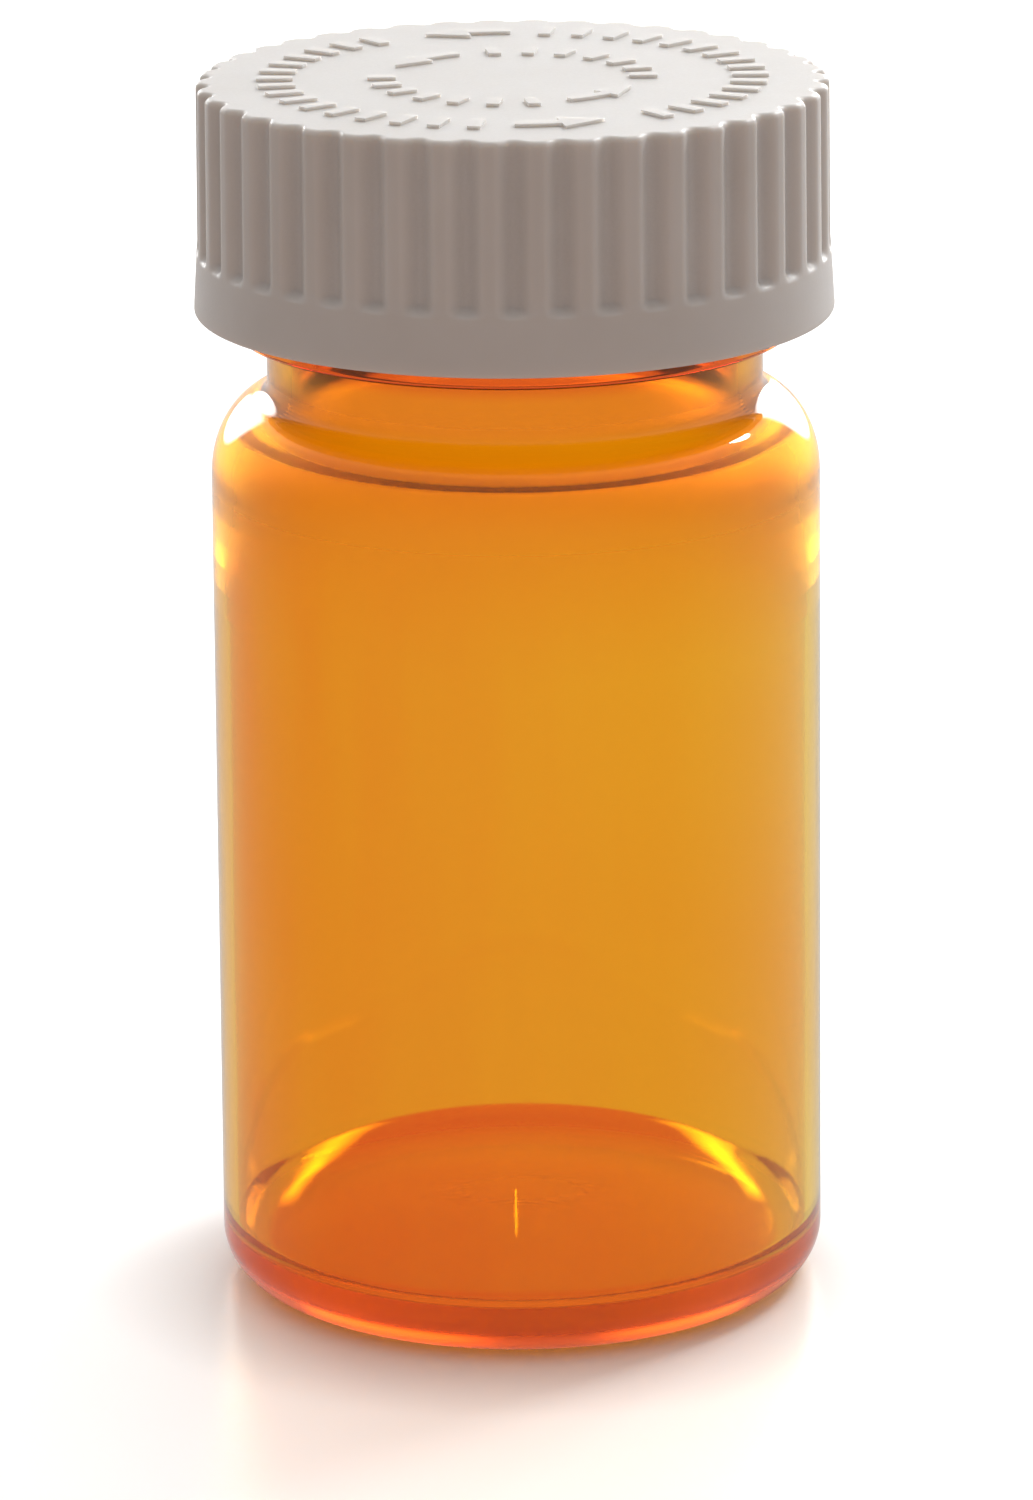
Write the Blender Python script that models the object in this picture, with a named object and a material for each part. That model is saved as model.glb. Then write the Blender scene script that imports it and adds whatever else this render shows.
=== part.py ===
"""Prescription vial with a two-piece, push-down-and-turn closure.

An amber plastic vial with a threaded neck carries a closure made of four pieces: a
foam liner, a threaded inner shell, a ring of spring fingers and a ribbed outer shell.
The outer shell turns idly over the inner one until it is pressed down against the
fingers, so that the lugs of both shells engage and the thread can be turned.

Metres, +Z up. The origin is the centre of the base, on the plane the vial stands on,
and the axis of every moving piece is the Z axis.
"""
import math

import bmesh
import bpy

# ---- Driving dimensions ---------------------------------------------------------
MM = 0.001
GAP = 0.3 * MM                      # clearance kept between pieces that touch

BODY_R = 22.1 * MM                  # vial body at its base, outside
DRAFT = 0.2 * MM                    # narrowing of the body up to the shoulder
WALL = 1.1 * MM                     # vial body wall
NECK_WALL = 1.8 * MM                # wall of the neck and shoulder
THICKEN_Z = (53.0 * MM, 60.0 * MM)  # the wall grows to the neck's between these heights
BASE_CORNER = 3.5 * MM              # outside radius between base and wall
BASE_RING_R = 17.0 * MM             # inner edge of the flat standing ring
PUSH_UP = 0.8 * MM                  # rise of the hollow underside at its centre
FLOOR_Z = 3.4 * MM                  # inside floor next to the wall
FLOOR_RISE = 0.3 * MM               # the inside floor at its centre, above its edge
FLOOR_CORNER = 1.2 * MM             # inside radius between floor and wall
SHOULDER_Z = 60.4 * MM              # top of the straight wall
NECK_Z = 66.2 * MM                  # where the shoulder meets the neck
NECK_R = 17.8 * MM                  # neck, outside
BORE_R = NECK_R - NECK_WALL         # neck, inside
BEAD_Z = 70.9 * MM                  # underside of the bead below the thread
BEAD_H = 1.4 * MM
BEAD_R = 20.05 * MM
RIM_Z = 82.6 * MM                   # top of the vial

LEAD = 25.4 / 6.0 * MM              # thread lead: six threads to the inch
THREAD_ROOT_W = 2.2 * MM            # axial width at the foot of the thread
THREAD_CREST_W = 1.0 * MM           # axial width at its crest
VIAL_CREST_R = 18.9 * MM            # crest of the vial's thread
VIAL_THREAD_Z = 76.0 * MM           # middle of the thread where it starts
VIAL_TURNS = 1.15
CAP_CREST_R = 18.1 * MM             # crest of the inner shell's thread
CAP_THREAD_DROP = 0.5 * LEAD - 0.35 * MM   # cap thread below the vial's, nearly seated
CAP_THREAD_Z = 75.5 * MM            # lowest middle of the cap's thread
CAP_TURNS = 1.25

LINER_R = 18.7 * MM
LINER_T = 0.9 * MM

INNER_Z = 74.3 * MM                 # bottom edge of the inner shell
INNER_BORE_R = 19.15 * MM
INNER_R = 20.3 * MM                 # inner shell, outside
INNER_FLANGE_R = 20.6 * MM          # bead round its bottom edge
INNER_FLANGE_H = 1.0 * MM
INNER_TOP_T = 1.1 * MM

SKIRT_Z = 72.44 * MM                # bottom edge of the outer shell
TOP_Z = 88.9 * MM                   # flat top of the outer shell
OUTER_TOP_T = 1.1 * MM
SKIRT_R = 22.91 * MM                # plain band at its bottom edge
BAND_R = 22.68 * MM                 # the same band where the ribs begin
BAND_H = 4.1 * MM
RIB_R = 22.6 * MM                   # crest of a rib at its foot
RIB_TOP_R = 22.5 * MM               # crest of a rib at the top
RIB_COUNT = 42
RIB_DEPTH = 0.7 * MM
OUTER_BORE_R = 20.9 * MM
RETAIN_R = 20.4 * MM                # inward bead that holds the inner shell
EDGE = 0.4 * MM                     # rounding of the top edge

PUSH_TRAVEL = 1.2 * MM              # how far the outer shell can be pressed down
LUG_COUNT = 12
LUG_R = (13.2 * MM, 17.6 * MM)      # inner and outer end of a drive lug
LUG_W = 2.4 * MM
LUG_LEAN = 0.9 * MM                 # slope of the side that clicks over when loosened
INNER_LUG_H = 1.1 * MM

FINGER_COUNT = 6
SPRING_R = (8.6 * MM, 12.0 * MM)
SPRING_T = 0.5 * MM
FINGER_SWEEP = math.radians(44.0)

PINCH_MARK = (0.4 * MM, 12.0 * MM, 0.15 * MM)   # mould mark across the underside

MARK_H = 0.25 * MM                  # height of the raised marks on the cap
DASH_W = 0.9 * MM
ARROW_LENGTH = 6.4 * MM             # along its ring
ARROW_HEAD = 0.5                    # share of that length taken by the head
# Rings of marks: radius, radial length, number of places, places of the arrow tails
MARK_RINGS = ((16.9 * MM, 2.6 * MM, 40, (10, 30)),
              (9.3 * MM, 2.0 * MM, 22, (7, 18)))

SEGMENTS = 60                       # facets round the turned pieces
THREAD_STEP = 2.0 * math.pi / SEGMENTS
THREAD_START = 0.5 * THREAD_STEP    # angle where the vial's thread starts, mid facet

# ---- Derived positions ----------------------------------------------------------
LINER_Z = RIM_Z + GAP
INNER_UNDERSIDE = LINER_Z + LINER_T + GAP
INNER_TOP = INNER_UNDERSIDE + INNER_TOP_T
OUTER_UNDERSIDE = TOP_Z - OUTER_TOP_T
OUTER_LUG_Z = INNER_TOP + PUSH_TRAVEL + 0.2 * MM
SPRING_Z = (INNER_TOP + GAP, OUTER_UNDERSIDE - GAP)


# ---- Modelling helpers ----------------------------------------------------------
def clear_scene():
    for obj in list(bpy.data.objects):
        bpy.data.objects.remove(obj, do_unlink=True)


def material(name, colour, roughness, transmission=0.0):
    mat = bpy.data.materials.new(name)
    mat.use_nodes = True
    shader = mat.node_tree.nodes["Principled BSDF"]
    shader.inputs["Base Color"].default_value = (*colour, 1.0)
    shader.inputs["Roughness"].default_value = roughness
    shader.inputs["Metallic"].default_value = 0.0
    shader.inputs["Transmission Weight"].default_value = transmission
    mat.diffuse_color = (*colour, 1.0)
    return mat


def add_object(name, bm, height, mat=None, parent=None):
    """Turn a bmesh built in world height into an object whose origin is on the axis."""
    bmesh.ops.recalc_face_normals(bm, faces=bm.faces)
    bmesh.ops.translate(bm, verts=bm.verts, vec=(0.0, 0.0, -height))
    mesh = bpy.data.meshes.new(name)
    bm.to_mesh(mesh)
    bm.free()
    mesh.shade_smooth()
    mesh.set_sharp_from_angle(angle=math.radians(32.0))
    if mat:
        mesh.materials.append(mat)
    obj = bpy.data.objects.new(name, mesh)
    bpy.context.scene.collection.objects.link(obj)
    obj.location = (0.0, 0.0, height)
    if parent:
        obj.parent = parent
        obj.location = (0.0, 0.0, height - parent.location.z)
    return obj


def combine(target, tool, operation):
    """Leave a Boolean on the target and hide its tool."""
    tool.hide_render = True
    tool.display_type = "WIRE"
    modifier = target.modifiers.new(tool.name, "BOOLEAN")
    modifier.operation = operation
    modifier.solver = "EXACT"
    modifier.object = tool


def arc(centre_r, centre_z, radius_r, radius_z, start, end, count):
    """Points of an elliptic arc in the (radius, height) half plane, in degrees."""
    points = []
    for i in range(count + 1):
        angle = math.radians(start + (end - start) * i / count)
        points.append((centre_r + radius_r * math.cos(angle),
                       centre_z + radius_z * math.sin(angle)))
    return points


def turned(profile, segments=SEGMENTS):
    """Spin a closed (radius, height) outline about Z."""
    bm = bmesh.new()
    verts = [bm.verts.new((radius, 0.0, height)) for radius, height in profile]
    edges = [bm.edges.new((a, b)) for a, b in zip(verts, verts[1:])]
    if profile[0][0] > 0.0:
        edges.append(bm.edges.new((verts[-1], verts[0])))
    bmesh.ops.spin(bm, geom=verts + edges, axis=(0.0, 0.0, 1.0), cent=(0.0, 0.0, 0.0),
                   angle=2.0 * math.pi, steps=segments, use_merge=True)
    bmesh.ops.remove_doubles(bm, verts=bm.verts, dist=0.001 * MM)
    return bm


def stack_rings(bm, rings):
    """Skin closed rings of equal length, from the first to the last, and cap both."""
    loops = [[bm.verts.new(point) for point in ring] for ring in rings]
    for low, high in zip(loops, loops[1:]):
        for i in range(len(low)):
            j = (i + 1) % len(low)
            bm.faces.new((low[i], low[j], high[j], high[i]))
    bm.faces.new(list(reversed(loops[0])))
    bm.faces.new(loops[-1])


def prism(bm, outline, low, high):
    """Raise a flat (x, y) outline into a block between two heights."""
    stack_rings(bm, [[(x, y, z) for x, y in outline] for z in (low, high)])


def polar(radius, angle):
    return radius * math.cos(angle), radius * math.sin(angle)


# ---- Threads, lugs and ribs -----------------------------------------------------
def thread(root_r, crest_r, start_z, start_angle, turns):
    """Right-hand helical ridge, rising from nothing at each end."""
    steps = round(turns * 2.0 * math.pi / THREAD_STEP)
    run_in = 5
    sections = []
    for i in range(steps + 1):
        angle = start_angle + i * THREAD_STEP
        middle = start_z + LEAD * i * THREAD_STEP / (2.0 * math.pi)
        grow = min(1.0, (min(i, steps - i) + 0.6) / run_in)
        crest = root_r + (crest_r - root_r) * grow
        half_root = 0.5 * THREAD_ROOT_W * (0.5 + 0.5 * grow)
        half_crest = 0.5 * THREAD_CREST_W * (0.5 + 0.5 * grow)
        corners = ((root_r, -half_root), (crest, -half_crest),
                   (crest, half_crest), (root_r, half_root))
        sections.append([(*polar(radius, angle), middle + rise) for radius, rise in corners])
    bm = bmesh.new()
    stack_rings(bm, sections)
    return bm


def block(ends, width, angle, low_lean=0.0, high_lean=0.0):
    """Outline of a straight radial block, its two sides pulled in by their leans."""
    near, far = ends
    return (polar(near, angle - math.asin((0.5 * width - low_lean) / near)),
            polar(far, angle - math.asin((0.5 * width - low_lean) / far)),
            polar(far, angle + math.asin((0.5 * width - high_lean) / far)),
            polar(near, angle + math.asin((0.5 * width - high_lean) / near)))


def lugs(foot, tip, first_angle, low_lean, high_lean):
    """Ring of radial teeth from the foot height to the tip height."""
    bm = bmesh.new()
    for i in range(LUG_COUNT):
        angle = first_angle + 2.0 * math.pi * i / LUG_COUNT
        wide = block(LUG_R, LUG_W, angle)
        narrow = block(LUG_R, LUG_W, angle, low_lean, high_lean)
        stack_rings(bm, [[(x, y, foot) for x, y in wide], [(x, y, tip) for x, y in narrow]])
    return bm


def ribbed_ring(crest, groove, height):
    """One level of the ribbed wall: a flat-topped rib and a flat groove per pitch."""
    pattern = ((0.0, crest), (0.24, crest), (0.34, groove), (0.66, groove), (0.76, crest))
    pitch = 2.0 * math.pi / RIB_COUNT
    return [(*polar(radius, pitch * (i + fraction)), height)
            for i in range(RIB_COUNT) for fraction, radius in pattern]


# ---- Vial body ------------------------------------------------------------------
def vial_profile():
    """Outside from the base up to the rim, then inside down to the floor."""
    top_r = BODY_R - DRAFT
    outside = [(0.0, PUSH_UP), (0.3 * BASE_RING_R, 0.8 * PUSH_UP),
               (0.7 * BASE_RING_R, 0.2 * PUSH_UP), (BASE_RING_R, 0.0)]
    outside += arc(BODY_R - BASE_CORNER, BASE_CORNER, BASE_CORNER, BASE_CORNER, -90, 0, 5)
    outside += arc(NECK_R, SHOULDER_Z, top_r - NECK_R, NECK_Z - SHOULDER_Z, 0, 90, 6)
    outside += [(NECK_R, BEAD_Z), (BEAD_R - 0.3 * MM, BEAD_Z), (BEAD_R, BEAD_Z + 0.3 * MM),
                (BEAD_R, BEAD_Z + BEAD_H - 0.3 * MM), (BEAD_R - 0.3 * MM, BEAD_Z + BEAD_H),
                (NECK_R, BEAD_Z + BEAD_H), (NECK_R, RIM_Z - 0.3 * MM),
                (NECK_R - 0.3 * MM, RIM_Z)]
    inside = [(BORE_R + 0.2 * MM, RIM_Z), (BORE_R, RIM_Z - 0.3 * MM)]
    shoulder_r = top_r - NECK_WALL
    shoulder_low, shoulder_top = THICKEN_Z[1], NECK_Z - NECK_WALL
    inside += arc(BORE_R, shoulder_low, shoulder_r - BORE_R, shoulder_top - shoulder_low,
                  90, 0, 6)
    inner_r = BODY_R - WALL
    corner_z = FLOOR_Z + FLOOR_CORNER
    inside += [(top_r - WALL, THICKEN_Z[0])]
    inside += arc(inner_r - FLOOR_CORNER, corner_z, FLOOR_CORNER, FLOOR_CORNER, 0, -90, 4)
    inside += [(0.5 * BASE_RING_R, FLOOR_Z + 0.7 * FLOOR_RISE), (0.0, FLOOR_Z + FLOOR_RISE)]
    return outside + inside


def pinch_mark():
    """Thin ridge across the hollow underside, where the mould closed on the plastic."""
    width, length, rise = PINCH_MARK
    bm = bmesh.new()
    corners = ((-0.5 * width, -0.5 * length), (0.5 * width, -0.5 * length),
               (0.5 * width, 0.5 * length), (-0.5 * width, 0.5 * length))
    prism(bm, corners, 0.8 * PUSH_UP - rise, PUSH_UP + 0.2 * MM)
    return bm


def make_vial(amber):
    vial = add_object("vial_body", turned(vial_profile()), 0.0, amber)
    ridge = thread(NECK_R - 0.1 * MM, VIAL_CREST_R, VIAL_THREAD_Z, THREAD_START,
                   VIAL_TURNS)
    combine(vial, add_object("vial_thread_tool", ridge, 0.0, parent=vial), "UNION")
    combine(vial, add_object("pinch_mark_tool", pinch_mark(), 0.0, parent=vial), "UNION")
    return vial


# ---- Closure --------------------------------------------------------------------
def make_liner(foam, parent):
    edge = 0.15 * MM
    low = LINER_Z
    high = LINER_Z + LINER_T
    outline = [(0.0, low), (LINER_R - edge, low), (LINER_R, low + edge),
               (LINER_R, high - edge), (LINER_R - edge, high), (0.0, high)]
    return add_object("liner", turned(outline), LINER_Z, foam, parent)


def inner_profile():
    """From the axis over the top, down the outside, and back up the bore."""
    flange_top = INNER_Z + INNER_FLANGE_H
    corner = 0.7 * MM
    outline = [(0.0, INNER_TOP)]
    outline += arc(INNER_R - corner, INNER_TOP - corner, corner, corner, 90, 0, 3)
    outline += [(INNER_R, flange_top), (INNER_FLANGE_R, flange_top - 0.3 * MM),
                (INNER_FLANGE_R, INNER_Z + 0.2 * MM), (INNER_FLANGE_R - 0.2 * MM, INNER_Z),
                (INNER_BORE_R + GAP, INNER_Z), (INNER_BORE_R, INNER_Z + GAP),
                (INNER_BORE_R, INNER_UNDERSIDE - 0.4 * MM),
                (INNER_BORE_R - 0.4 * MM, INNER_UNDERSIDE), (0.0, INNER_UNDERSIDE)]
    return outline


def make_inner_shell(plastic, parent):
    inner = add_object("inner_shell", turned(inner_profile()), INNER_Z, plastic, parent)
    above_start = CAP_THREAD_Z - (VIAL_THREAD_Z - CAP_THREAD_DROP)
    start_angle = THREAD_START + 2.0 * math.pi * above_start / LEAD
    ridge = thread(INNER_BORE_R + 0.15 * MM, CAP_CREST_R, CAP_THREAD_Z, start_angle, CAP_TURNS)
    combine(inner, add_object("inner_thread_tool", ridge, INNER_Z, parent=parent), "UNION")
    blocks = lugs(INNER_TOP - GAP, INNER_TOP + INNER_LUG_H, 0.0, LUG_LEAN, 0.0)
    combine(inner, add_object("inner_lug_tool", blocks, INNER_Z, parent=parent), "UNION")
    return inner


def make_spring(plastic, parent):
    """Flat ring under the outer shell with sloping fingers that press on the inner one."""
    low, high = SPRING_Z
    ring = turned([(SPRING_R[0], high - SPRING_T), (SPRING_R[1], high - SPRING_T),
                   (SPRING_R[1], high), (SPRING_R[0], high)])
    spring = add_object("spring_fingers", ring, low, plastic, parent)
    fingers = bmesh.new()
    margin = 0.4 * MM
    steps = 6
    for i in range(FINGER_COUNT):
        root = 2.0 * math.pi * i / FINGER_COUNT
        sections = []
        for k in range(steps + 1):
            along = k / steps
            angle = root + FINGER_SWEEP * along
            bottom = high - 0.8 * SPRING_T - (high - 0.8 * SPRING_T - low) * along
            sections.append([(*polar(SPRING_R[0] + margin, angle), bottom),
                             (*polar(SPRING_R[1] - margin, angle), bottom),
                             (*polar(SPRING_R[1] - margin, angle), bottom + 0.7 * SPRING_T),
                             (*polar(SPRING_R[0] + margin, angle), bottom + 0.7 * SPRING_T)])
        stack_rings(fingers, sections)
    combine(spring, add_object("finger_tool", fingers, low, parent=parent), "UNION")
    return spring


def outer_blank():
    """Solid ribbed cap before it is hollowed."""
    ledge_z = SKIRT_Z + BAND_H
    groove = RIB_R - RIB_DEPTH
    top_groove = RIB_TOP_R - RIB_DEPTH
    levels = (
        (SKIRT_R - 0.15 * MM, SKIRT_R - 0.15 * MM, SKIRT_Z),
        (SKIRT_R, SKIRT_R, SKIRT_Z + 0.15 * MM),
        (BAND_R, BAND_R, ledge_z),
        (RIB_R, groove + 0.25 * MM, ledge_z + 0.35 * MM),
        (RIB_R, groove, ledge_z + 0.75 * MM),
        (RIB_TOP_R, top_groove, TOP_Z - EDGE),
        (RIB_TOP_R - 0.3 * EDGE, top_groove - 0.3 * EDGE, TOP_Z - 0.3 * EDGE),
        (RIB_TOP_R - EDGE, top_groove - EDGE, TOP_Z),
    )
    bm = bmesh.new()
    stack_rings(bm, [ribbed_ring(crest, root, height) for crest, root, height in levels])
    return bm


def outer_cavity():
    """Turned cutter: mouth, retaining bead, straight wall and rounded ceiling."""
    corner = 0.9 * MM
    outline = [(0.0, SKIRT_Z - MM), (OUTER_BORE_R + 0.3 * MM, SKIRT_Z - MM),
               (OUTER_BORE_R + 0.2 * MM, SKIRT_Z), (RETAIN_R, SKIRT_Z + 0.65 * MM),
               (RETAIN_R, SKIRT_Z + 1.1 * MM), (OUTER_BORE_R, SKIRT_Z + 1.55 * MM)]
    outline += arc(OUTER_BORE_R - corner, OUTER_UNDERSIDE - corner, corner, corner, 0, 90, 3)
    outline += [(0.0, OUTER_UNDERSIDE)]
    return turned(outline)


def arrow_outline(radius, width, tail, tip):
    """Flat arrow that follows a ring from the tail angle to the tip angle."""
    neck = tip - ARROW_HEAD * (tip - tail)
    steps = 3
    angles = [tail + (neck - tail) * i / steps for i in range(steps + 1)]
    points = [polar(radius + 0.2 * width, angle) for angle in angles]
    points += [polar(radius + 0.6 * width, neck), polar(radius, tip),
               polar(radius - 0.6 * width, neck)]
    points += [polar(radius - 0.2 * width, angle) for angle in reversed(angles)]
    return points


def mark_ring(bm, radius, length, places, tails):
    """Short radial dashes round a ring, giving way to arrows that say which way to turn."""
    low = TOP_Z - 0.2 * MM
    high = TOP_Z + MARK_H
    pitch = 2.0 * math.pi / places
    sweep = ARROW_LENGTH / radius
    taken = set()
    for tail in tails:
        prism(bm, arrow_outline(radius, length, tail * pitch, tail * pitch + sweep), low, high)
        taken.update((tail + k) % places for k in range(math.ceil(sweep / pitch) + 1))
    ends = (radius - 0.5 * length, radius + 0.5 * length)
    for i in range(places):
        if i not in taken:
            prism(bm, block(ends, DASH_W, i * pitch), low, high)


def cap_marks():
    bm = bmesh.new()
    for radius, length, places, tails in MARK_RINGS:
        mark_ring(bm, radius, length, places, tails)
    return bm


def make_outer_shell(plastic, parent):
    outer = add_object("outer_shell", outer_blank(), SKIRT_Z, plastic, parent)
    cutter = add_object("outer_cavity_tool", outer_cavity(), SKIRT_Z, parent=parent)
    combine(outer, cutter, "DIFFERENCE")
    half_pitch = math.pi / LUG_COUNT
    blocks = lugs(OUTER_UNDERSIDE + GAP, OUTER_LUG_Z, half_pitch, 0.0, LUG_LEAN)
    combine(outer, add_object("outer_lug_tool", blocks, SKIRT_Z, parent=parent), "UNION")
    marks = add_object("outer_mark_tool", cap_marks(), SKIRT_Z, parent=parent)
    combine(outer, marks, "UNION")
    return outer


# ---- Assembly -------------------------------------------------------------------
def main():
    clear_scene()
    amber = material("amber_plastic", (0.75, 0.25, 0.02), 0.08, transmission=0.85)
    white = material("cap_plastic", (0.72, 0.70, 0.67), 0.42)
    natural = material("inner_plastic", (0.78, 0.77, 0.74), 0.40)
    foam = material("liner_foam", (0.86, 0.85, 0.82), 0.90)

    vial = make_vial(amber)
    closure = bpy.data.objects.new("closure", None)
    closure.location = (0.0, 0.0, RIM_Z)
    bpy.context.scene.collection.objects.link(closure)
    make_liner(foam, closure)
    make_inner_shell(natural, closure)
    make_spring(natural, closure)
    make_outer_shell(white, closure)
    closure.parent = vial


main()
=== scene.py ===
"""Looks of the prescription vial: an amber bottle with a ribbed push-down-and-turn cap.

Each CAD solid is replaced by a finer mesh of the same size that rides on the same body.
Lengths are metres, +Z is up, and every turned piece shares the Z axis.
"""
import math

import bmesh
import bpy
import numpy as np
from mathutils import Matrix, Vector


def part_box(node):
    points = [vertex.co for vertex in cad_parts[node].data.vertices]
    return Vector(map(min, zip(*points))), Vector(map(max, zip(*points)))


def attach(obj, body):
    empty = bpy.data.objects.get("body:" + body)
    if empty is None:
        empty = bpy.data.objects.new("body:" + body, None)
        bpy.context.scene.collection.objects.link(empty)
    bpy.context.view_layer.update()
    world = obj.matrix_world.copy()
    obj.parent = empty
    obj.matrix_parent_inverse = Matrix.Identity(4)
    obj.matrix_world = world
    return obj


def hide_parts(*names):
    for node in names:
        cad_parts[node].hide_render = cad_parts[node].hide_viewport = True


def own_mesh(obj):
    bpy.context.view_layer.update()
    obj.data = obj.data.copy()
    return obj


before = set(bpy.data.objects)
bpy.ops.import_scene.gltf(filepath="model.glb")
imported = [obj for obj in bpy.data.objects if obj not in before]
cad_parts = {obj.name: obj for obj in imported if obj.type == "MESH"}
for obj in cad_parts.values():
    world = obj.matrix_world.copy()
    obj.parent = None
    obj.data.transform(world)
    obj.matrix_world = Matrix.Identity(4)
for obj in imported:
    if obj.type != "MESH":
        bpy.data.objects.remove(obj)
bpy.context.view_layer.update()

MM = 0.001
TURN = 2.0 * math.pi

# ---- Sizes, from the boxes of the CAD nodes and the design's own wall sizes ----------
VIAL_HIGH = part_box("vial_body")[1]
LINER_LOW, LINER_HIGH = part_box("liner")
INNER_LOW, INNER_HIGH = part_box("inner_shell")
SPRING_LOW, SPRING_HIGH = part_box("spring_fingers")
OUTER_LOW, OUTER_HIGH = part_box("outer_shell")

JOIN = 0.3 * MM                     # from the end of a curve to the next point
SHARP_ANGLE = math.radians(50.0)    # edges that turn more than this are shaded sharp

# Vial
BODY_R = VIAL_HIGH.x                # vial body at its base, where it is widest
DRAFT = 0.2 * MM                    # narrowing of the body up to the shoulder
WALL = 1.1 * MM
NECK_WALL = 1.8 * MM
THICKEN_Z = (51.0 * MM, 60.0 * MM)  # the wall grows to the neck's between these heights
BASE_CORNER = 3.5 * MM
BASE_RING_R = 17.0 * MM             # inner radius of the ring that the vial stands on
PUSH_UP = 0.8 * MM
FLOOR_Z = 3.4 * MM
FLOOR_RISE = 0.3 * MM               # the inside floor at its centre, above its edge
FLOOR_CORNER = (2.4 * MM, 1.8 * MM)             # across and up
WELD = (0.35 * MM, 11.0 * MM, 0.18 * MM)        # seam on the inside floor: width, length, rise
WELD_SHIFT = 1.3                    # of its width, off the axis where the mesh columns meet
RIM_Z = VIAL_HIGH.z
RIM_ROUND = (0.4 * MM, 0.3 * MM)    # outside and inside
SHOULDER_Z = RIM_Z - 22.2 * MM
SHOULDER_DROP = 0.4 * MM            # the inside shoulder begins this much lower
SHOULDER_FILLET = 1.1 * MM
NECK_Z = RIM_Z - 16.4 * MM
NECK_R = 17.8 * MM
BORE_R = NECK_R - NECK_WALL
BEAD_Z = RIM_Z - 11.7 * MM
BEAD_H = 1.4 * MM
BEAD_R = 20.05 * MM
BEAD_ROUND = 0.35 * MM

# Threads
LEAD = 25.4 / 6.0 * MM
THREAD_ROOT = 1.1 * MM              # half width of the thread at its foot
THREAD_CREST = 0.5 * MM             # and at its crest
THREAD_FADE = 0.09                  # part of a turn over which each end of the thread runs out
THREAD_ANGLE = math.radians(3.0)    # where the vial's thread begins
THREAD_PLAY = 0.35 * MM             # how much nearer the two threads are than half a lead
# Height of the start, number of turns, depth
VIAL_THREAD = (RIM_Z - 6.6 * MM, 1.15, 18.9 * MM - NECK_R)
CAP_THREAD = (RIM_Z - 7.1 * MM, 1.25, 1.05 * MM)

# Outer shell of the closure
MARK_H = 0.25 * MM
TOP_Z = OUTER_HIGH.z - MARK_H
TOP_T = 1.1 * MM
UNDERSIDE = TOP_Z - TOP_T
SKIRT_Z = OUTER_LOW.z
SKIRT_R = OUTER_HIGH.x
BAND_R = SKIRT_R - 0.23 * MM
BAND_H = 4.1 * MM
BAND_SLOPE = 1.0 * MM               # height of the slope from the band up to the ribs
LEDGE = SKIRT_Z + BAND_H
RIB_R = SKIRT_R - 0.31 * MM
RIB_TOP_R = SKIRT_R - 0.41 * MM
RIB_COUNT = 42
RIB_COLUMNS = 14                    # mesh columns for each rib and its groove
RIB_DEPTH = 0.7 * MM
GROOVE_SIDES = ((0.12, 0.45), (0.55, 0.88))     # shares of the pitch where the depth changes
GROOVE_END = (-0.05 * MM, 0.75 * MM)            # where a groove runs out, above the ledge
TOP_EDGE = 0.45 * MM
OUTER_BORE_R = 20.9 * MM
OUTER_SKIN_R = OUTER_BORE_R + 0.35 * MM         # points beyond this are on the ribbed side
OUTER_BORE_ROUND = 0.9 * MM
RETAIN_R = 20.4 * MM
RETAIN_Z = (SKIRT_Z + 0.65 * MM, SKIRT_Z + 1.1 * MM, SKIRT_Z + 1.55 * MM)

# Inner shell of the closure
INNER_LUG_H = 1.1 * MM
INNER_TOP = INNER_HIGH.z - INNER_LUG_H
INNER_TOP_T = 1.1 * MM
INNER_R = 20.3 * MM
INNER_CORNER = 0.7 * MM
INNER_BORE_R = 19.15 * MM
INNER_BORE_ROUND = 0.4 * MM
FLANGE_H = 1.0 * MM

# Lugs that lock the shells together when the outer one is pressed down
LUG_COUNT = 12
LUG_R = (13.2 * MM, 17.6 * MM)
LUG_W = 2.4 * MM
LUG_LEAN = 0.9 * MM
LUG_EDGE = 0.12 * MM
LUG_ROOT = 0.3 * MM                 # how far a lug reaches into its shell
OUTER_LUG_Z = INNER_TOP + 1.4 * MM

# Spring fingers
FINGER_COUNT = 6
SPRING_R = (8.6 * MM, 12.0 * MM)
SPRING_T = 0.5 * MM
SPRING_EDGE = 0.12 * MM
FINGER_MARGIN = 0.4 * MM            # a finger is this much narrower than the ring, each side
FINGER_ROOT = 0.8 * SPRING_T        # underside of a finger's root, below the ring's top
FINGER_T = 0.7 * SPRING_T
FINGER_EDGE = 0.1 * MM
FINGER_SWEEP = math.radians(44.0)

# Liner
LINER_EDGE = 0.15 * MM
LINER_PRESS = 0.12 * MM             # depth of the groove that the rim presses into it
PRESS_SIDE = (0.3 * MM, 0.8 * MM)   # that groove is full, and gone, this far from its middle

# Rings of marks on the cap: radius, radial length, places, places of the arrow tails
MARK_RINGS = ((16.9 * MM, 2.6 * MM, 40, (10, 30)),
              (9.3 * MM, 2.0 * MM, 22, (7, 18)))
MARK_ROOT = 0.2 * MM                # how far a mark reaches into the cap
MARK_EDGE = 0.08 * MM
MARK_TURN = math.radians(0.4)       # keeps the marks off the joins between mesh columns
DASH_W = 0.9 * MM
ARROW_LENGTH = 6.4 * MM
ARROW_HEAD = 0.5                    # share of an arrow's length
ARROW_HALF_WIDTHS = (0.2, 0.6)      # of its shaft and its head, as shares of a dash's length

# ---- Looks -----------------------------------------------------------------------
WHITE = (1.0, 1.0, 1.0)
PLASTIC_IOR = 1.49

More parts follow.
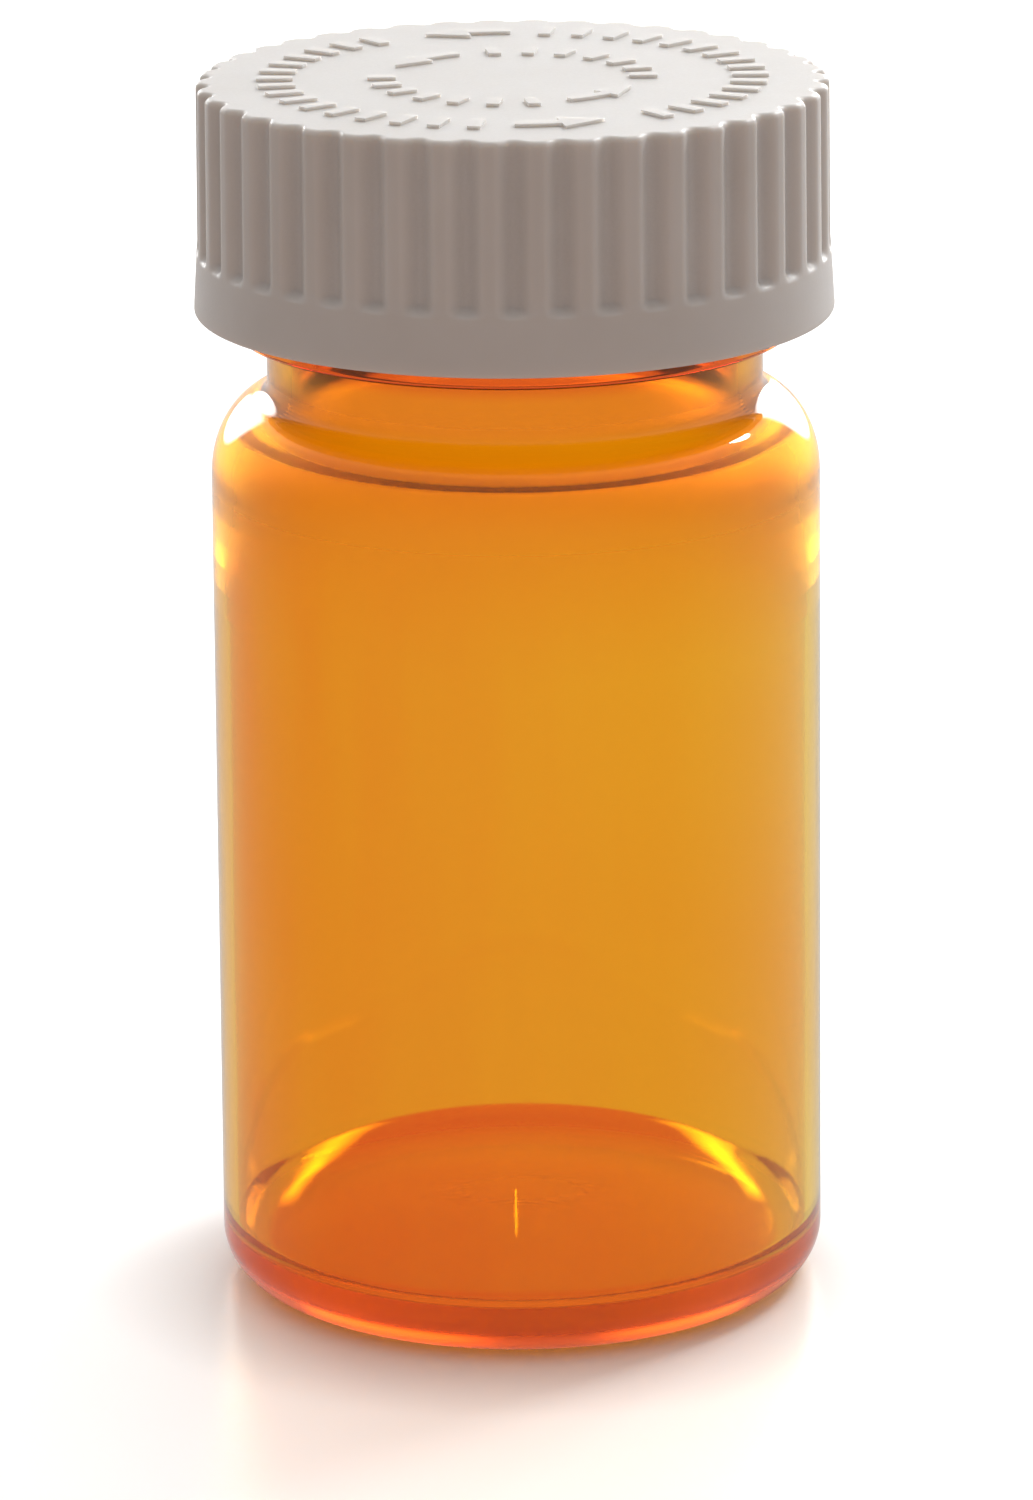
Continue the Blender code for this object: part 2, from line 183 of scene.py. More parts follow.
# What each wall lets through: two sides, flow marks, clouds, lower body, shoulder, and the neck
# ring with the painted shadow of the cap's skirt
# The left side has painted shade and the right side painted light
AMBER_SHADED_LEFT = (0.90, 0.455, 0.10, 1.0)
AMBER_LIT_RIGHT = (0.92, 0.67, 0.14, 1.0)
AMBER_FLOW = (0.92, 0.68, 0.13, 1.0)
AMBER_CLOUD = (0.90, 0.59, 0.11, 1.0)
AMBER_LOWER = (0.90, 0.53, 0.10, 1.0)
AMBER_SHOULDER = (0.90, 0.49, 0.10, 1.0)
# Painted shadow of the cap's skirt: a deep band round the neck just under the cap
AMBER_CAP_SHADOW = (0.84, 0.25, 0.06, 1.0)
# Heights between which each begins, and between which it ends
LOWER_Z = ((10.0 * MM, 20.0 * MM), (22.0 * MM, 42.0 * MM))
SHOULDER_TINT_Z = (50.0 * MM, 62.0 * MM)
CAP_SHADOW_Z = ((69.4 * MM, 70.6 * MM), (71.4 * MM, 72.6 * MM))
FROST_Z = ((53.0 * MM, 60.0 * MM), (67.0 * MM, 70.0 * MM))
FROST = 0.27                        # added roughness inside the shoulder and the neck
INSIDE_GLOSS = 0.03                 # roughness of the inside
MATT_Z = (0.9 * MM, 3.0 * MM)       # the matt underside ends between these heights
MATT = 0.55
AMBER_DEPTH = (0.9925, 0.9375, 0.125, 1.0)      # what thickness leaves of the light
AMBER_DENSITY = 800.0

# Colour, shaded colour, roughness, subsurface weight
CAP_LOOK = ((0.63, 0.62, 0.605, 1.0), (0.60, 0.585, 0.565, 1.0), 0.42, 0.6)
INNER_LOOK = ((0.74, 0.735, 0.71, 1.0), (0.68, 0.67, 0.64, 1.0), 0.36, 0.3)
# Painted shade in the grooves between the ribs: its strength, and how far it darkens the shaded
# colour
GROOVE_PAINTED_SHADE = 0.12
GROOVE_SHADE_LEVEL = 0.72

FOAM = (0.80, 0.79, 0.75, 1.0)
FOAM_SHADE = (0.72, 0.71, 0.67, 1.0)
FOAM_CELL = (0.55, 0.53, 0.48, 1.0)

# ---- Studio values ---------------------------------------------------------------
FLOOR_RADIUS = 6.0
FLOOR_DROP = 0.02 * MM              # keeps the floor clear of the base
FLOOR_WHITE = (0.97, 0.97, 0.97, 1.0)
FLOOR_GLOSS = 0.22
GLOW_REACH = 11.0 * MM              # the floor's glow is full this far from the vial
GLOW = 0.28
SHADOW_PATCH = (18.9 * MM, 33.0 * MM)      # half width and half depth of the painted amber shadow
SHADOW_PATCH_EDGE = 1.0 * MM               # softness of its edge
SHADOW_PATCH_COLOUR = (0.88, 0.31, 0.18, 1.0)
OPEN_COLOUR = (0.93, 0.93, 0.93, 1.0)
# Painted caustic light: bright lines along each side of the painted amber shadow, seen only through
# the amber
CAUSTIC_STREAK_COLOUR = (6.0, 5.8, 3.6, 1.0)
CAUSTIC_STREAK_SIDES = ((SHADOW_PATCH[1] - 2.8 * MM, SHADOW_PATCH[1] - 1.2 * MM),
                (SHADOW_PATCH[1] - 0.8 * MM, SHADOW_PATCH[1] + 0.4 * MM))
CAUSTIC_STREAK_ENDS = ((5.0 * MM, 8.0 * MM), (17.0 * MM, 26.0 * MM))

BACKDROP = (1.02, 1.02, 1.02)
AMBIENT = (0.23, 0.215, 0.205)
# Soft lights of the surround: direction, cosines where one begins and is full, colour, radiance
SOFT_LIGHTS = (((0.05, 0.45, 0.89), -0.15, 0.9, WHITE, 0.37),
               ((0.25, 0.97, 0.0), -0.5, 0.9, WHITE, 0.46),
               ((0.0, -0.75, -0.65), -0.4, 0.9, (1.0, 0.66, 0.52), 0.30))
WINDOWS = (((0.34, 0.92, 0.18), 0.960, 0.975, WHITE, 7.0),
           ((-0.40, 0.90, 0.19), 0.968, 0.981, WHITE, 6.0))
# Lamps: name, place, diameter, watts
LAMPS = (("key_box", (0.34, 0.32, 0.447), 0.13, 1.3),
         ("small_box", (0.25, 0.364, 0.472), 0.07, 0.4))
LAMP_TARGET = (0.0, 0.0, 0.07)

CAMERA_PLACE = (-0.00013, -0.53036, 0.19392)
CAMERA_DOWN = 16.26                 # degrees below level
CAMERA_ROLL = -0.5
CAMERA_LENS = 182.1
LIGHT_BOUNCES = 24


# ---- Mesh tools -----------------------------------------------------------------
def smoothstep(low, high, value):
    t = np.clip((value - low) / (high - low), 0.0, 1.0)
    return t * t * (3.0 - 2.0 * t)


def arc(centre_r, centre_z, radius_r, radius_z, start, end, count):
    """Points of an elliptic arc in the (radius, height) half plane, in degrees."""
    turn = np.radians(np.linspace(start, end, count + 1))
    return [(centre_r + radius_r * math.cos(a), centre_z + radius_z * math.sin(a)) for a in turn]


def rounded(outline, radius, steps=4):
    """Replace each inner corner of an open outline by a small arc-like curve."""
    points = [outline[0]]
    for before, corner, after in zip(outline, outline[1:], outline[2:]):
        before, corner, after = (np.array(p) for p in (before, corner, after))
        reach_in = min(radius, 0.45 * np.linalg.norm(before - corner))
        reach_out = min(radius, 0.45 * np.linalg.norm(after - corner))
        start = corner + (before - corner) / np.linalg.norm(before - corner) * reach_in
        end = corner + (after - corner) / np.linalg.norm(after - corner) * reach_out
        for t in np.linspace(0.0, 1.0, steps + 1):
            point = (1 - t) ** 2 * start + 2 * t * (1 - t) * corner + t * t * end
            points.append((float(point[0]), float(point[1])))
    return points + [outline[-1]]


def supported(outline, step=3.0 * MM):
    """Add points to the long straight stretches, close to their ends and along them."""
    margin = 0.12 * MM
    points = [outline[0]]
    for (r0, z0), (r1, z1) in zip(outline, outline[1:]):
        length = math.hypot(r1 - r0, z1 - z0)
        if length > 4.0 * margin:
            count = max(1, round((length - 2.0 * margin) / step))
            along = np.linspace(margin / length, 1.0 - margin / length, count + 1)
            points += [(r0 + (r1 - r0) * t, z0 + (z1 - z0) * t) for t in along]
        points.append((r1, z1))
    return points


def revolve(outline, columns, reshape=None):
    """Turn an outline of (radius, height) points about Z.

    An outline that starts on the axis ends on it too; any other is a closed loop.
    reshape(radii, heights, angles) may move the surface in or out.
    """
    radii, heights = (np.array(values) for values in zip(*outline))
    angles = np.arange(columns) * TURN / columns
    grid = np.repeat(radii[:, None], columns, axis=1)
    if reshape:
        grid = reshape(grid, heights[:, None], angles[None, :])
    open_ended = radii[0] == 0.0
    verts, rows = [], []
    for i, height in enumerate(heights):
        if open_ended and i in (0, len(radii) - 1):
            rows.append([len(verts)] * columns)
            verts.append((0.0, 0.0, height))
            continue
        rows.append(list(range(len(verts), len(verts) + columns)))
        verts += list(zip(grid[i] * np.cos(angles), grid[i] * np.sin(angles), [height] * columns))
    pairs = list(zip(rows, rows[1:]))
    if not open_ended:
        pairs.append((rows[-1], rows[0]))
    faces = []
    for low, high in pairs:
        for j in range(columns):
            k = (j + 1) % columns
            corners = dict.fromkeys((low[j], low[k], high[k], high[j]))
            faces.append(tuple(corners))
    mesh = bpy.data.meshes.new("turned")
    mesh.from_pydata(verts, [], faces)
    bm = bmesh.new()
    bm.from_mesh(mesh)
    bpy.data.meshes.remove(mesh)
    return bm


def helix_ridge(heights, angles, start_z, turns, start_angle):
    """How far each point lies up a helical ridge: 0 off it, 1 on its crest."""
    ridge = np.zeros(np.broadcast(heights, angles).shape)
    first = np.mod(angles - start_angle, TURN) / TURN
    for lap in range(math.ceil(turns) + 1):
        along = first + lap
        away = np.abs(heights - (start_z + LEAD * along))
        flank = 1.0 - smoothstep(THREAD_CREST, THREAD_ROOT, away)
        begun = smoothstep(0.0, THREAD_FADE, along)
        fade = begun * (1.0 - smoothstep(turns - THREAD_FADE, turns, along))
        ridge = np.maximum(ridge, flank * fade)
    return ridge


def stack_rings(bm, rings):
    """Skin closed rings of equal length, from the first to the last, and cap both."""
    loops = [[bm.verts.new(point) for point in ring] for ring in rings]
    for low, high in zip(loops, loops[1:]):
        for i in range(len(low)):
            j = (i + 1) % len(low)
            bm.faces.new((low[i], low[j], high[j], high[i]))
    bm.faces.new(list(reversed(loops[0])))
    bm.faces.new(loops[-1])


def polar(radius, angle):
    return radius * math.cos(angle), radius * math.sin(angle)


def soften(bm, radius, steep):
    """Round every edge that turns more than the given number of degrees."""
    edges = [e for e in bm.edges if e.calc_face_angle(0.0) > math.radians(steep)]
    bmesh.ops.bevel(bm, geom=edges, offset=radius, segments=2, profile=0.5,
                    affect="EDGES", clamp_overlap=True)


def to_object(name, bm, materials):
    bmesh.ops.recalc_face_normals(bm, faces=bm.faces)
    mesh = bpy.data.meshes.new(name)
    bm.to_mesh(mesh)
    bm.free()
    mesh.shade_smooth()
    mesh.set_sharp_from_angle(angle=SHARP_ANGLE)
    for mat in materials:
        mesh.materials.append(mat)
    obj = bpy.data.objects.new(name, mesh)
    bpy.context.scene.collection.objects.link(obj)
    return obj


def unite(target, bm):
    """Join a closed mesh to the target with a Boolean, and keep only the result."""
    tool = to_object("tool", bm, [])
    modifier = target.modifiers.new("unite", "BOOLEAN")
    modifier.operation = "UNION"
    modifier.solver = "EXACT"
    modifier.object = tool
    apply_modifiers(target)
    bpy.data.objects.remove(tool)


def crisp(obj, low, high):
    """Keep the shading of a small raised shape from running into the face it stands on."""
    bm = bmesh.new()
    bm.from_mesh(obj.data)
    for edge in bm.edges:
        if low < edge.verts[0].co.z < high and low < edge.verts[1].co.z < high:
            if edge.calc_face_angle(0.0) > math.radians(40.0):
                edge.smooth = False
    bm.to_mesh(obj.data)
    bm.free()


def apply_modifiers(obj):
    depsgraph = bpy.context.evaluated_depsgraph_get()
    final = bpy.data.meshes.new_from_object(obj.evaluated_get(depsgraph))
    obj.modifiers.clear()
    old = obj.data
    obj.data = final
    final.name = obj.name
    bpy.data.meshes.remove(old)


def hand_in(obj, body, node):
    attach(obj, body)
    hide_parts(node)
    return obj


# ---- Material tools --------------------------------------------------------------
class Nodes:
    """Short calls for building a node tree."""

    def __init__(self, tree):
        self.tree = tree

    def new(self, kind, values=(), **settings):
        node = self.tree.nodes.new(kind)
        for key, value in settings.items():
            setattr(node, key, value)
        self.fill(node, dict(values))
        return node

    def fill(self, node, values):
        for socket, value in values.items():
            self.feed(node.inputs[socket], value)

    def feed(self, socket, value):
        if isinstance(value, bpy.types.NodeSocket):
            self.tree.links.new(value, socket)
        else:
            socket.default_value = value

    def place(self, stretch):
        """Object coordinates, scaled to millimetres and stretched along each axis."""
        coords = self.new("ShaderNodeTexCoord")
        mapping = self.new("ShaderNodeMapping", {"Vector": coords.outputs["Object"],
                                                 "Scale": [1000.0 * s for s in stretch]})
        return mapping.outputs["Vector"]

    def noise(self, scale, detail=3.0, stretch=(1.0, 1.0, 1.0)):
        node = self.new("ShaderNodeTexNoise", {"Vector": self.place(stretch), "Scale": scale,
                                               "Detail": detail, "Roughness": 0.55})
        return node.outputs["Fac"]

    def spread(self, value, low, high, to_low, to_high):
        node = self.new("ShaderNodeMapRange", {"Value": value, "From Min": low, "From Max": high,
                                               "To Min": to_low, "To Max": to_high})
        return node.outputs["Result"]

    def math(self, operation, a, b):
        return self.new("ShaderNodeMath", {0: a, 1: b}, operation=operation).outputs["Value"]

    def vector(self, operation, a, b=WHITE, result="Vector"):
        return self.new("ShaderNodeVectorMath", {0: a, 1: b}, operation=operation).outputs[result]

    def hump(self, value, begin, end, level=1.0):
        """Rise from 0 to the level over one stretch and fall back to 0 over another."""
        return self.math("MULTIPLY", self.spread(value, *begin, 0.0, level),
                         self.spread(value, *end, 1.0, 0.0))

    def mix(self, factor, a, b):
        node = self.new("ShaderNodeMix", {"Factor": factor, 6: a, 7: b}, data_type="RGBA")
        return node.outputs[2]

    def shader_mix(self, factor, a, b):
        return self.new("ShaderNodeMixShader", {"Fac": factor, 1: a, 2: b}).outputs["Shader"]

    def bump(self, height, strength, distance):
        node = self.new("ShaderNodeBump", {"Height": height, "Strength": strength,
                                           "Distance": distance})
        return node.outputs["Normal"]


def new_material(name):
    mat = bpy.data.materials.new(name)
    mat.use_nodes = True
    nodes = Nodes(mat.node_tree)
    return nodes, mat.node_tree.nodes["Principled BSDF"], mat


# ---- Materials -------------------------------------------------------------------
def amber_plastic():
    """Clear amber plastic, tinted at each wall and a little by its thickness, with painted light
    and shade in its tint.

    It is matt underneath, and faintly frosted inside the shoulder and the neck.
    """
    nodes, shader, mat = new_material("amber_plastic")
    place = nodes.new("ShaderNodeTexCoord").outputs["Object"]
    split = nodes.new("ShaderNodeSeparateXYZ", {"Vector": place}).outputs
    height = split["Z"]
    flow = nodes.noise(0.16, 3.0, (1.0, 1.0, 0.12))
    cloud = nodes.noise(0.05, 2.0)
    # Painted shade on the left side of the body and painted light on the right
    tint = nodes.mix(nodes.spread(split["X"], -BODY_R, BODY_R, 0.0, 1.0), AMBER_SHADED_LEFT, AMBER_LIT_RIGHT)
    for share, colour in ((nodes.spread(flow, 0.35, 0.65, 0.0, 0.35), AMBER_FLOW),
                          (nodes.spread(cloud, 0.3, 0.7, 0.0, 0.35), AMBER_CLOUD),
                          (nodes.hump(height, *LOWER_Z, 0.5), AMBER_LOWER),
                          (nodes.spread(height, *SHOULDER_TINT_Z, 0.0, 1.0), AMBER_SHOULDER),
                          # painted shadow of the cap round the neck
                          (nodes.hump(height, *CAP_SHADOW_Z), AMBER_CAP_SHADOW)):
        tint = nodes.mix(share, tint, colour)
    scuff = nodes.noise(2.4, 4.0, (1.0, 1.0, 0.25))
    gloss = nodes.spread(scuff, 0.4, 0.75, 0.02, 0.08)
    matt = nodes.spread(height, *MATT_Z, MATT, 0.0)
    inside = nodes.new("ShaderNodeAttribute", attribute_name="inside").outputs["Fac"]
    frosted = nodes.hump(height, *FROST_Z, FROST)
    gloss = nodes.mix(inside, gloss, nodes.math("ADD", frosted, INSIDE_GLOSS))
    ripple = nodes.noise(0.35, 2.0, (1.0, 1.0, 0.3))
    nodes.fill(shader, {"Base Color": tint,
                        "Roughness": nodes.math("MAXIMUM", gloss, matt),
                        "IOR": PLASTIC_IOR,
                        "Transmission Weight": 1.0,
                        "Normal": nodes.bump(ripple, 0.25, 0.02 * MM)})
    volume = nodes.new("ShaderNodeVolumeAbsorption", {"Color": AMBER_DEPTH,
                                                      "Density": AMBER_DENSITY})
    output = mat.node_tree.nodes["Material Output"]
    nodes.feed(output.inputs["Volume"], volume.outputs["Volume"])
    return mat


def moulded_plastic(name, colour, shade, roughness, subsurface):
    """Satin plastic with a fine grain and painted shade in the grooves between the ribs."""
    nodes, shader, mat = new_material(name)
    patch = nodes.noise(0.12)
    grain = nodes.noise(5.0)
    tone = nodes.mix(nodes.spread(patch, 0.3, 0.7, 0.0, 1.0), colour, shade)
    groove = nodes.new("ShaderNodeAttribute", attribute_name="groove").outputs["Fac"]
    # Painted shade in the grooves, broken up by the grain
    groove_shade = nodes.math("MULTIPLY", groove, nodes.spread(grain, 0.3, 0.7, 0.0, GROOVE_PAINTED_SHADE))
    tone = nodes.mix(groove_shade, tone, (*(GROOVE_SHADE_LEVEL * c for c in shade[:3]), 1.0))
    nodes.fill(shader, {"Base Color": tone,
                        "Roughness": nodes.spread(grain, 0.3, 0.7, roughness - 0.06,
                                                  roughness + 0.08),
                        "IOR": PLASTIC_IOR,
                        "Subsurface Weight": subsurface,
                        "Subsurface Radius": (1.0, 0.85, 0.7),
                        "Subsurface Scale": 1.5 * MM,
                        "Normal": nodes.bump(grain, 0.3, 0.02 * MM)})
    return mat


def liner_foam():
    """Dull white foam with open cells."""
    nodes, shader, mat = new_material("liner_foam")
    cells = nodes.new("ShaderNodeTexVoronoi", {"Vector": nodes.place((1.0, 1.0, 1.0)),
                                               "Scale": 3.2})
    cell = cells.outputs["Distance"]
    patch = nodes.noise(0.3)
    tone = nodes.mix(nodes.spread(patch, 0.3, 0.7, 0.0, 1.0), FOAM, FOAM_SHADE)
    nodes.fill(shader, {"Base Color": nodes.mix(nodes.spread(cell, 0.0, 0.5, 0.35, 0.0), tone,
                                                FOAM_CELL),
                        "Roughness": nodes.spread(cell, 0.0, 0.6, 0.95, 0.75),
                        "Subsurface Weight": 0.15,
                        "Subsurface Radius": (1.0, 0.9, 0.8),
                        "Subsurface Scale": 0.5 * MM,
                        "Normal": nodes.bump(cell, 0.6, 0.06 * MM)})
    return mat


# ---- Vial ------------------------------------------------------------------------
def bezier(start, control, end, count):
    """Points of a quadratic curve that leaves and reaches its ends towards the control."""
    points = []
    for t in np.linspace(0.0, 1.0, count + 1):
        weights = ((1.0 - t) ** 2, 2.0 * t * (1.0 - t), t * t)
        points.append(tuple(sum(w * p[k] for w, p in zip(weights, (start, control, end)))
                            for k in (0, 1)))
    return points


def body_radius(height):
    """Outside radius of the straight wall, which narrows slightly upwards."""
    share = (height - BASE_CORNER) / (SHOULDER_Z - BASE_CORNER)
    return BODY_R - DRAFT * min(1.0, max(0.0, share))


def wall_thickness(height):
    return WALL + (NECK_WALL - WALL) * float(smoothstep(*THICKEN_Z, height))


def shoulder(inner_r, outer_r, low, high, fillet, count):
    """Quarter ellipse up to the neck, blended into the neck by a concave fillet."""
    curve = arc(inner_r, low, outer_r - inner_r, high - low, 0, 90, count)
    curve = [point for point in curve if point[0] > inner_r + fillet]
    return curve + bezier(curve[-1], (inner_r, high + 0.05 * MM), (inner_r, high + fillet), 10)[1:]


def vial_outline():
    """Outside from the base up to the rim, then inside down to the floor."""
    outside = [(BASE_RING_R * t, 0.5 * PUSH_UP * (1.0 + math.cos(math.pi * t)))
               for t in np.linspace(0.0, 1.0, 25)]
    outside += arc(BODY_R - BASE_CORNER, BASE_CORNER, BASE_CORNER, BASE_CORNER, -90, 0, 18)
    outside += [(body_radius(z), z)
                for z in np.linspace(BASE_CORNER + JOIN, SHOULDER_Z - JOIN, 24)]
    outside += shoulder(NECK_R, BODY_R - DRAFT, SHOULDER_Z, NECK_Z, SHOULDER_FILLET, 24)
    bead_top = BEAD_Z + BEAD_H
    outside += rounded([(NECK_R, NECK_Z + 2.0 * MM), (NECK_R, BEAD_Z), (BEAD_R, BEAD_Z),
                        (BEAD_R, bead_top), (NECK_R, bead_top), (NECK_R, bead_top + 0.4 * MM)],
                       BEAD_ROUND)
    outside += [(NECK_R, z) for z in np.linspace(bead_top + 0.5 * MM, RIM_Z - 0.5 * MM, 60)]
    out_round, in_round = RIM_ROUND
    outside += arc(NECK_R - out_round, RIM_Z - out_round, out_round, out_round, 0, 90, 6)
    inside = arc(BORE_R + in_round, RIM_Z - in_round, in_round, in_round, 90, 180, 5)
    inside_low = SHOULDER_Z - SHOULDER_DROP
    inside += reversed(shoulder(BORE_R, body_radius(inside_low) - wall_thickness(inside_low),
                                inside_low, NECK_Z - NECK_WALL, SHOULDER_FILLET + NECK_WALL, 24))
    corner_z = FLOOR_Z + FLOOR_CORNER[1]
    inside += [(body_radius(z) - wall_thickness(z), z)
               for z in np.linspace(inside_low - JOIN, corner_z + JOIN, 32)]
    inner_r = body_radius(corner_z) - WALL
    floor_r = inner_r - FLOOR_CORNER[0]
    inside += arc(floor_r, corner_z, *FLOOR_CORNER, 0, -90, 18)
    inside += [(floor_r * t, FLOOR_Z + 0.5 * FLOOR_RISE * (1.0 + math.cos(math.pi * t)))
               for t in np.linspace(0.9, 0.0, 16)]
    return supported(outside + inside)


def vial_threads(radii, heights, angles):
    start_z, turns, depth = VIAL_THREAD
    ridge = helix_ridge(heights, angles, start_z, turns, THREAD_ANGLE)
    on_neck = (heights > BEAD_Z + BEAD_H + 0.3 * MM) & (radii > NECK_R - 0.1 * MM)
    return radii + depth * ridge * on_neck


def weld_ridge():
    """Low rounded ridge on the inside floor, where the plastic closed in the mould."""
    width, length, rise = WELD
    low = FLOOR_Z + FLOOR_RISE - 0.15 * MM
    rings = []
    for t in np.linspace(-1.0, 1.0, 15):
        size = max(0.05, math.sqrt(1.0 - t * t))
        y = 0.5 * length * t
        half = 0.5 * width * size
        high = FLOOR_Z + FLOOR_RISE + rise * size
        shape = ((-half, low), (half, low), (0.6 * half, high - 0.3 * rise * size),
                 (0.0, high), (-0.6 * half, high - 0.3 * rise * size))
        rings.append([(x - WELD_SHIFT * width, y, z) for x, z in shape])
    bm = bmesh.new()
    stack_rings(bm, rings)
    return bm


def mark_inside(obj):
    """Vertex attribute that is 1 on the faces turned towards the axis and 0 elsewhere."""
    inward = [v.normal.x * v.co.x + v.normal.y * v.co.y < 0.0 for v in obj.data.vertices]
    attribute = obj.data.attributes.new("inside", "FLOAT", "POINT")
    attribute.data.foreach_set("value", np.array(inward, dtype=np.float32))


def make_vial():
    bm = revolve(vial_outline(), 288, vial_threads)
    obj = to_object("amber_vial", bm, [amber_plastic()])
    unite(obj, weld_ridge())
    mark_inside(obj)
    crisp(obj, FLOOR_Z, FLOOR_Z + FLOOR_RISE + 0.02 * MM)
    return obj


# ---- Closure ---------------------------------------------------------------------
def make_liner():
    """Foam disc with the groove that the vial's rim has pressed into it."""
    edge = LINER_EDGE
    low = LINER_LOW.z
    high = LINER_HIGH.z
    radius = LINER_HIGH.x
    outline = [(0.0, low)]
    for r in np.linspace(BORE_R - 1.2 * MM, NECK_R + 0.8 * MM, 25):
        away = abs(r - 0.5 * (BORE_R + NECK_R))
        outline.append((r, low + LINER_PRESS * (1.0 - smoothstep(*PRESS_SIDE, away))))
    outline += arc(radius - edge, low + edge, edge, edge, -90, 0, 4)
    outline += arc(radius - edge, high - edge, edge, edge, 0, 90, 4) + [(0.0, high)]
    return to_object("foam_liner", revolve(supported(outline, 1.5 * MM), 192), [liner_foam()])


def lugs(foot, tip, first_angle, low_lean, high_lean):
    """Ring of radial teeth from the foot height to the tip height."""
    bm = bmesh.new()
    near, far = LUG_R
    for i in range(LUG_COUNT):
        angle = first_angle + TURN * i / LUG_COUNT
        rings = []
        for height, low_in, high_in in ((foot, 0.0, 0.0), (tip, low_lean, high_lean)):
            ring = [polar(near, angle - math.asin((0.5 * LUG_W - low_in) / near)),
                    polar(far, angle - math.asin((0.5 * LUG_W - low_in) / far)),
                    polar(far, angle + math.asin((0.5 * LUG_W - high_in) / far)),
                    polar(near, angle + math.asin((0.5 * LUG_W - high_in) / near))]
            rings.append([(x, y, height) for x, y in ring])
        stack_rings(bm, rings)
    soften(bm, LUG_EDGE, 25.0)
    return bm


def inner_outline():
    """Over the top, down the wall to its flange, and back up the threaded bore."""
    edge = INNER_CORNER
    flange_r = INNER_HIGH.x
    low = INNER_LOW.z
    flange_top = low + FLANGE_H
    under = INNER_TOP - INNER_TOP_T
    bore_round = INNER_BORE_ROUND
    outline = [(0.0, INNER_TOP)] + arc(INNER_R - edge, INNER_TOP - edge, edge, edge, 90, 0, 8)
    outline += rounded([(INNER_R, INNER_TOP - edge - 0.5 * MM), (INNER_R, flange_top),
                        (flange_r, flange_top - 0.3 * MM), (flange_r, low),
                        (INNER_BORE_R + 0.3 * MM, low), (INNER_BORE_R, low + 0.3 * MM),
                        (INNER_BORE_R, low + 0.6 * MM)], 0.2 * MM)
    outline += [(INNER_BORE_R, z)
                for z in np.linspace(low + 0.7 * MM, under - bore_round - 0.2 * MM, 56)]
    outline += arc(INNER_BORE_R - bore_round, under - bore_round, bore_round, bore_round, 0, 90, 5)
    return supported(outline + [(0.0, under)])


def inner_threads(radii, heights, angles):
    """The cap's thread runs under the vial's, half a lead lower but for the play."""
    start_z, turns, depth = CAP_THREAD
    drop = 0.5 * LEAD - THREAD_PLAY
    start_angle = THREAD_ANGLE + TURN * (start_z - (VIAL_THREAD[0] - drop)) / LEAD
    ridge = helix_ridge(heights, angles, start_z, turns, start_angle)
    bore_top = INNER_TOP - INNER_TOP_T - 0.5 * MM
    in_bore = (radii < INNER_BORE_R + 0.01 * MM) & (heights < bore_top)
    return radii - depth * ridge * in_bore


def make_inner_shell(plastic):
    obj = to_object("threaded_inner_shell", revolve(inner_outline(), 240, inner_threads), [plastic])
    unite(obj, lugs(INNER_TOP - LUG_ROOT, INNER_HIGH.z, 0.0, LUG_LEAN, 0.0))
    return obj


def make_spring(plastic):
    """Flat ring with sloping fingers that press on the inner shell."""
    low = SPRING_LOW.z
    high = SPRING_HIGH.z
    inner, outer = SPRING_R
    under = high - SPRING_T
    middle = 0.5 * (inner + outer)
    loop = rounded([(middle, under), (outer, under), (outer, high), (inner, high), (inner, under),
                    (middle - 0.01 * MM, under)], SPRING_EDGE, 3)
    obj = to_object("spring_finger_ring", revolve(supported(loop, 1.5 * MM), 144), [plastic])
    inner += FINGER_MARGIN
    outer -= FINGER_MARGIN
    root_z = high - FINGER_ROOT
    bm = bmesh.new()
    for i in range(FINGER_COUNT):
        root = TURN * i / FINGER_COUNT
        rings = []
        for t in np.linspace(0.0, 1.0, 19):
            angle = root + FINGER_SWEEP * t
            bottom = root_z - (root_z - low) * (0.5 * t + 0.5 * t * t)
            top = bottom + FINGER_T
            rings.append([(*polar(inner, angle), bottom), (*polar(outer, angle), bottom),
                          (*polar(outer, angle), top), (*polar(inner, angle), top)])
        stack_rings(bm, rings)
    soften(bm, FINGER_EDGE, 40.0)
    unite(obj, bm)
    return obj


def rib_shape(radii, heights, angles):
    """Cut the grooves between the ribs into the outer wall and through the top edge."""
    phase = np.mod(angles * RIB_COUNT / TURN, 1.0)
    falling, rising = GROOVE_SIDES
    groove = smoothstep(*falling, phase) * (1.0 - smoothstep(*rising, phase))
    rise = smoothstep(LEDGE + GROOVE_END[0], LEDGE + GROOVE_END[1], heights)
    return radii - RIB_DEPTH * groove * rise * (radii > OUTER_SKIN_R)


